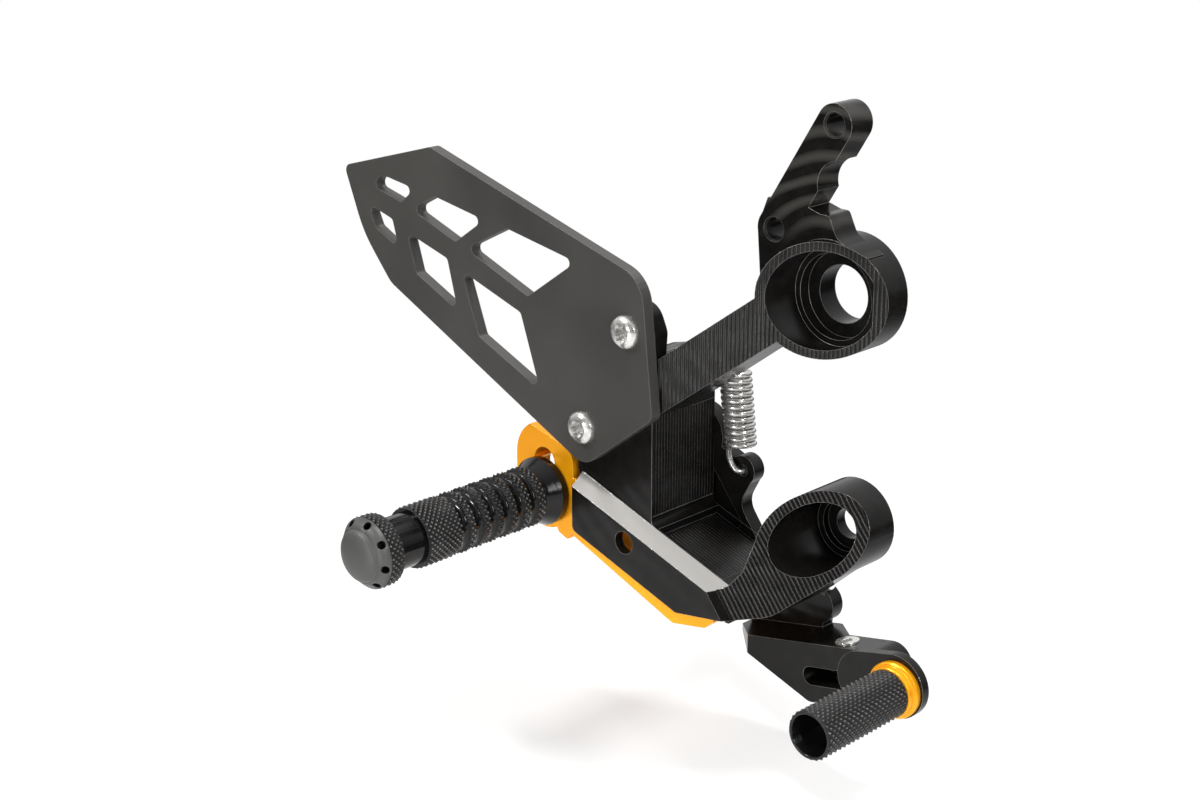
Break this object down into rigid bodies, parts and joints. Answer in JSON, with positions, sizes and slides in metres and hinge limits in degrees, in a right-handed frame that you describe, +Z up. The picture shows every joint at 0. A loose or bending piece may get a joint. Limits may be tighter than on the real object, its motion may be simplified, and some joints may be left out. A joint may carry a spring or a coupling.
{
  "type": "motorbike rear set footrest",
  "caption": "Right-hand rear set: milled bracket with a sliding knurled foot peg, slotted heel guard and sprung brake lever with an adjustable toe peg.",
  "frame": {"origin": "axis of the upper frame bore at the bracket's face against the frame", "axes": "+X forward, +Y inboard towards the bike, +Z up"},
  "size_m": [0.2358, 0.1244, 0.184],
  "materials": {
    "black_anodised": "fine milled, black anodised",
    "satin_black": "bead blasted, satin black anodised",
    "knurled_black": "knurled, black anodised",
    "gloss_black": "turned, gloss black anodised",
    "orange_anodised": "milled, orange anodised",
    "zinc_steel": "zinc plated",
    "black_steel": "black oxide",
    "spring_steel": "drawn wire",
    "bronze": "sintered bronze"
  },
  "bodies": {
    "bracket": {"main_bracket": "black_anodised", "heel_guard": "satin_black", "guard_screws": "zinc_steel", "adjuster_bolt": "zinc_steel", "pivot_bolt": "black_steel", "pivot_washer": "zinc_steel", "spring_pin": "zinc_steel", "return_spring": "spring_steel"},
    "adjuster": {"adjuster_bar": "orange_anodised", "peg_body": "gloss_black", "peg_grip": "knurled_black", "peg_end_cap": "knurled_black", "peg_bolt": "black_steel", "peg_washer": "zinc_steel"},
    "lever": {"brake_lever": "black_anodised", "lever_bushing": "bronze", "stop_screw": "black_steel", "stop_nut": "zinc_steel", "slot_set_screw": "zinc_steel"},
    "toe_slider": {"toe_carrier": "black_anodised", "carrier_screw": "black_steel", "carrier_washer": "zinc_steel", "toe_collar": "orange_anodised", "toe_peg": "knurled_black", "toe_peg_screw": "zinc_steel"}
  },
  "joints": [
    {"name": "peg_adjust", "type": "slide", "parent": "bracket", "child": "adjuster", "axis": [0.9478, 0, -0.319], "range_m": [-0.008, 0]},
    {"name": "brake", "type": "hinge", "parent": "bracket", "child": "lever", "pos_m": [-0.0525, 0, -0.0555], "axis": [0, 1, 0], "range_deg": [0, 12], "stiffness_Nm_per_rad": 1, "springref_deg": -20.05, "deforming": ["return_spring"]},
    {"name": "toe_adjust", "type": "slide", "parent": "lever", "child": "toe_slider", "axis": [-0.9806, 0, -0.1959], "range_m": [0, 0.012]}
  ]
}
